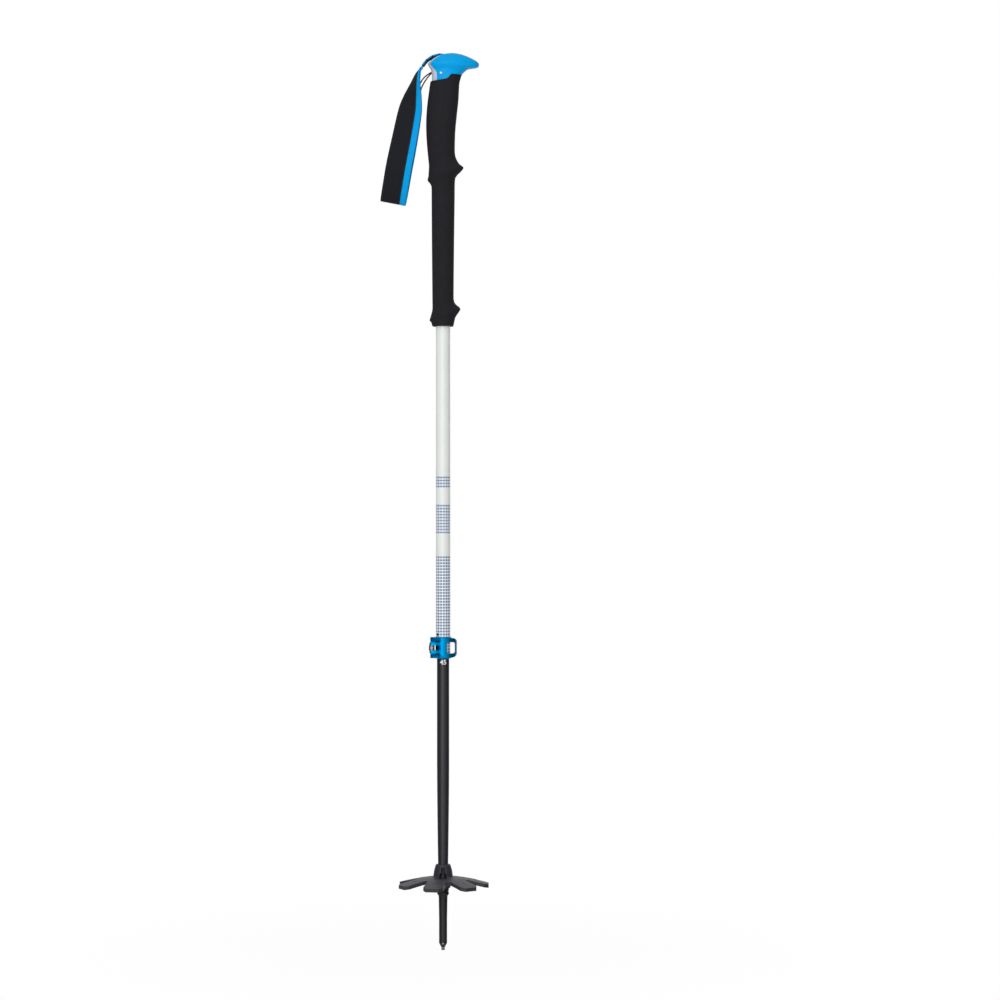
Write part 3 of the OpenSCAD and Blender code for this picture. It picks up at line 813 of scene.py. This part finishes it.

# %% [markdown]
# The upper tube is painted white and printed with rows of blue dots in three bands. The dots stand
# in columns round the tube, so the angle round the axis counts the columns and the height counts
# the rows of each band from its first, and a dot is where both are close to a whole number. The
# space between the bands, and a strip along one side, stay bare. The bore carries no white paint,
# and its dark grey is painted shade, the shade inside the tube through the drilled hole.

# %% Dotted paint
COLUMNS = 16
COLUMN_PHASE = 0.17
ROW = 3.8
DOT_R = 1.25
DOT_BLUR = 0.1
LOW_BAND = 503.7
MID_BAND = (535.5, 569.7)
TOP_BAND = (594.4, 605.8)
BARE_X = 6.5
BARE_Y = 0.5
TUBE_R = 9.25
PAINT_DEPTH = 0.3
TIP_BELOW_HAND = 1060
paint = Finish("dotted_paint", Specular_IOR_Level=0.45)
x, y, z = paint.place()
turn = y.math("ARCTAN2", x)
column = turn * (COLUMNS / math.tau) + COLUMN_PHASE
off_column = (column.math("FRACT") - 0.5) * (math.tau * TUBE_R / COLUMNS)
height = z + TIP_BELOW_HAND
first = LOW_BAND + (height > LOW_BAND + ROW) * (MID_BAND[0] - LOW_BAND)
first = first + (height > MID_BAND[1] + ROW) * (TOP_BAND[0] - MID_BAND[0])
off_row = (((height - first) / ROW + 0.5).math("FRACT") - 0.5) * ROW
reach = (off_column * off_column + off_row * off_row).math("SQRT")
dot = 1 - reach.clear(DOT_R - DOT_BLUR, DOT_R + DOT_BLUR)
band = height < LOW_BAND + ROW / 2
for low, high in (MID_BAND, TOP_BAND):
    band = band + (height > low - ROW / 2) * (height < high + ROW / 2)
bare = (x > BARE_X) * (y > BARE_Y)
dot = dot * band * (1 - bare)
peel = paint.noise(9, 2)
grime = paint.noise(30, 4)
# Inside the bore the colour is dark grey: painted shade inside the tube.
inside = (x * x + y * y).math("SQRT") < TUBE_R - PAINT_DEPTH
white = paint.mix(grime, screen(222, 226, 223), screen(234, 237, 234))
printed = paint.mix(dot, white, screen(0, 82, 158))
paint.feed(
    Base_Color=paint.mix(inside, printed, screen(38, 38, 42)),
    Roughness=0.34 + peel * 0.1 - dot * 0.06,
)
paint.relief(peel, 0.03)
paint.on("upper_shaft")

# %% [markdown]
# The lower tube is dark and satin. A tube that was drawn through a die keeps long fine lines, so its
# noise is stretched thin along the axis.

# %% Satin tube
satin = Finish("satin_tube", Specular_IOR_Level=0.4)
drawn = satin.noise(0.6, 3, 0.6, (1, 1, 0.02))
cloud = satin.noise(25, 3)
satin.feed(
    Base_Color=satin.mix(drawn * 0.5 + cloud * 0.5, screen(24, 23, 27), screen(38, 37, 42)),
    Roughness=0.36 + drawn * 0.16,
)
satin.relief(drawn, 0.012)
satin.on("lower_shaft")

# %% [markdown]
# The clamp is aluminium, bead-blasted and dyed. Dyed anodising is still metal, so the colour sits
# in the reflection, and a fine even grain blurs it. The steel screw and barrels are turned on a
# lathe, which leaves rings, and the carbide tip is ground.

# %% Metals
def metal(name, deep, pale, gloss, grain_size=0.25, stretch=None, depth=0.01):
    """A metal between two close colours, with grain or tool marks."""
    skin = Finish(name, Metallic=1.0)
    marks = skin.noise(grain_size, 3, 0.6, stretch)
    cloud = skin.noise(5, 3)
    skin.feed(
        Base_Color=skin.mix(marks * 0.4 + cloud * 0.6, deep, pale), Roughness=gloss + marks * 0.14,
    )
    skin.relief(marks, depth)
    return skin


metal("dyed_aluminium", screen(0, 106, 158), screen(0, 142, 196), 0.4).on(clamp_lever)
# The collar has the lever's dyed aluminium in darker colours: painted shade, for the shade under the
# lever.
metal("collar_painted_shade", screen(0, 92, 144), screen(0, 130, 186), 0.38).on(clamp_ring)
# The bright corner colour on the lever and the collar is a painted highlight along their rounds.
metal("painted_highlight_aluminium", screen(0, 166, 218), screen(70, 204, 240), 0.22).corners(
    clamp_lever, clamp_ring,
)
metal("turned_steel", screen(96, 91, 91), screen(150, 146, 144), 0.3, 0.4, (1, 1, 8)).on(
    "lever_barrel", "saddle_barrel", "tension_screw",
)
metal("pin_brass", screen(138, 126, 88), screen(176, 164, 120), 0.28).on("tip_pin")
metal("ground_carbide", screen(84, 78, 66), screen(146, 136, 112), 0.3, 0.3).on("carbide_tip")

# %% [markdown]
# The length scale of such a pole is a row of plain figures on the lower tube. Just under the clamp
# one of them shows. A Text object gives the figures, which become a mesh, and the mesh is then
# rolled round the tube so that it lies on the curve.

# %% Length figures
LOWER_R = 7.85
FIGURE_T = 0.08
FIGURE_SIZE = 8.6
FIGURE_BOLD = 0.22
FIGURE_Z = -691.0


def figure(name, text, height, turn):
    """Figures printed round the lower tube at that height, centred on that angle."""
    writing = bpy.data.curves.new(name, "FONT")
    writing.body = text
    writing.size = FIGURE_SIZE * MM
    writing.offset = FIGURE_BOLD * MM
    writing.align_x = "CENTER"
    writing.align_y = "CENTER"
    writing.resolution_u = 4
    flat = bpy.data.objects.new(name + "_flat", writing)
    bpy.context.scene.collection.objects.link(flat)
    bpy.context.view_layer.update()
    bm = bmesh.new()
    bm.from_mesh(flat.to_mesh())
    bpy.data.objects.remove(flat)
    bmesh.ops.triangulate(bm, faces=bm.faces)
    bmesh.ops.subdivide_edges(bm, edges=bm.edges, cuts=3, use_grid_fill=True)
    raised = bmesh.ops.extrude_face_region(bm, geom=bm.faces, use_keep_orig=True)["geom"]
    raised = [v for v in raised if isinstance(v, bmesh.types.BMVert)]
    bmesh.ops.translate(bm, verts=raised, vec=(0, 0, FIGURE_T * MM))
    made = piece(name, bm)
    for vert in made.data.vertices:
        angle = turn + vert.co.x / (LOWER_R * MM)
        out = LOWER_R * MM + vert.co.z
        vert.co = (out * math.cos(angle), out * math.sin(angle), height * MM + vert.co.y)
    made.data.update()
    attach(made, "lower")
    return made


figures = [
    figure("figure_front", "45", FIGURE_Z, math.radians(-87)),
    figure("figure_back", "45", FIGURE_Z, math.radians(93)),
]
moulded("printed_white", screen(232, 235, 235), screen(246, 248, 248), 0.4).on(*figures)

# %% [markdown]
# A catalogue picture has a white sweep and broad soft lamps. The camera sees pure white behind the
# pole, and so do its polished faces, but a photographer stands a black card on each side, just out
# of the picture, so that a tube shades off to dark edges and metal has something dark to show next
# to the bright. The light that falls on the pole is the same room, a little brighter to the front.

# %% Light
BRIGHT_SIDE = (-0.04, -0.8, 0.6)
ROOM = 0.36
ROOM_RISE = 0.2
CARD_FROM = 0.55
CARD_FULL = 0.88
CARD_DARK = 0.92


def seen_rays(tree):
    """1 on rays from the camera, from a polished face or through glass, and the polished alone."""
    ray = Field(tree, None).node("ShaderNodeLightPath")
    camera_ray, glass_ray, glossy_ray = [
        Field(tree, ray.outputs[f"Is {kind} Ray"]) for kind in ("Camera", "Transmission", "Glossy")
    ]
    return camera_ray.math("MAXIMUM", glass_ray).math("MAXIMUM", glossy_ray), glossy_ray


scene = bpy.context.scene
scene.view_settings.view_transform = "Standard"
world = bpy.data.worlds.new("white_sweep")
world.use_nodes = True
scene.world = world
tree = world.node_tree
tree.nodes.clear()
sky = Field(tree, None)
direct = Field(tree, sky.node("ShaderNodeTexCoord").outputs["Generated"])
toward = sky.node("ShaderNodeVectorMath", {"operation": "DOT_PRODUCT"}, {0: direct, 1: BRIGHT_SIDE})
room = ROOM + Field(tree, toward.outputs["Value"]) * ROOM_RISE
parts = sky.node("ShaderNodeSeparateXYZ", {}, {0: direct})
cards = Field(tree, parts.outputs[0]).math("ABSOLUTE").clear(CARD_FROM, CARD_FULL)
seen, glossy = seen_rays(tree)
strength = seen * (1 - glossy * cards * CARD_DARK) + room * (1 - seen)
lit = sky.node("ShaderNodeBackground", {}, {"Color": (1, 1, 1, 1), "Strength": strength})
out = sky.node("ShaderNodeOutputWorld")
tree.links.new(lit.outputs[0], out.inputs[0])


def lamp(name, place, aim, size, watts):
    """A soft box at place, turned to aim."""
    data = bpy.data.lights.new(name, "AREA")
    data.shape = "RECTANGLE"
    data.size = size[0]
    data.size_y = size[1]
    data.energy = watts
    made = bpy.data.objects.new(name, data)
    made.location = place
    made.rotation_euler = (Vector(aim) - Vector(place)).to_track_quat("-Z", "Y").to_euler()
    scene.collection.objects.link(made)


lamp("front_box", (-0.75, -3.6, 0.1), aim=(0, 0, -0.45), size=(0.7, 1.8), watts=54)
lamp("top_box", (-0.4, -0.8, 1.6), aim=(0, 0, -0.2), size=(1.2, 1.2), watts=7)
lamp("back_box", (0.9, 1.6, 0.4), aim=(0, 0, -0.4), size=(0.8, 1.6), watts=6)

# %% [markdown]
# The floor lies at the tip. To the camera it is nearly clear, so the white room shows through it and
# only a faint shadow is left. A pole drawn out to its full length then still shows below the floor.

# %% Floor
FLOOR_HALF = 4.0
FLOOR_DROP = 0.0005
FADE_FROM = 0.1
FADE_FULL = 0.7
CLEAR = 0.96
bm = bmesh.new()
bmesh.ops.create_grid(bm, x_segments=8, y_segments=8, size=FLOOR_HALF)
bmesh.ops.translate(bm, verts=bm.verts, vec=(0, 0, cad_box[0].z - FLOOR_DROP))
floor = piece("floor", bm)
pale = bpy.data.materials.new("pale_floor")
pale.use_nodes = True
tree = pale.node_tree
tree.nodes.clear()
ground = Field(tree, None)
spot = Field(tree, ground.node("ShaderNodeTexCoord").outputs["Object"])
parts = ground.node("ShaderNodeSeparateXYZ", {}, {0: spot})
far_x, far_y = [Field(tree, socket) for socket in parts.outputs[:2]]
far = (far_x * far_x + far_y * far_y).math("SQRT").clear(FADE_FROM, FADE_FULL)
seen = seen_rays(tree)[0]
chalk = ground.node("ShaderNodeBsdfDiffuse", {}, {"Color": (0.9, 0.9, 0.9, 1)})
clear = ground.node("ShaderNodeBsdfTransparent", {}, {"Color": (1, 1, 1, 1)})
join = ground.node("ShaderNodeMixShader", {}, {
    0: seen * (CLEAR + far * (1 - CLEAR)),
    1: Field(tree, chalk.outputs[0]),
    2: Field(tree, clear.outputs[0]),
})
out = ground.node("ShaderNodeOutputMaterial")
tree.links.new(join.outputs[0], out.inputs[0])
floor.data.materials.append(pale)
